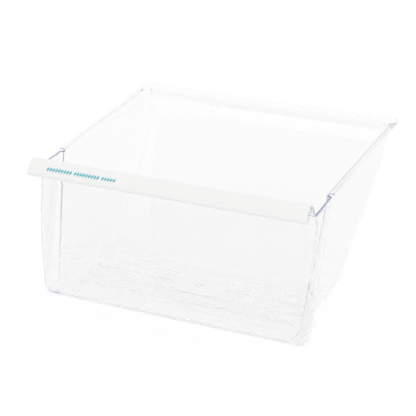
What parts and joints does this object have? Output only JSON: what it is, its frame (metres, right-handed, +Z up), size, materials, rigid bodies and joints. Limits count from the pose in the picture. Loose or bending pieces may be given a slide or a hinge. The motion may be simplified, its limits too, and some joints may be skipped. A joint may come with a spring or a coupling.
{
  "type": "refrigerator meat drawer",
  "caption": "Clear moulded refrigerator meat drawer with a raked back, ribbed floor, side flanges that slide on rails, and a white handle trim over its front lip.",
  "frame": {"origin": "middle of the floor's flat underside", "axes": "+Z up, +X to the right seen from the front, +Y from the front panel to the back"},
  "size_m": [0.394, 0.376, 0.198],
  "materials": {
    "clear_plastic": "clear polished polystyrene",
    "white_plastic": "white, softly glossy",
    "teal_ink": "dull printed ink"
  },
  "bodies": {
    "root": {"pan": "clear_plastic", "front_handle": "white_plastic"}
  },
  "joints": []
}
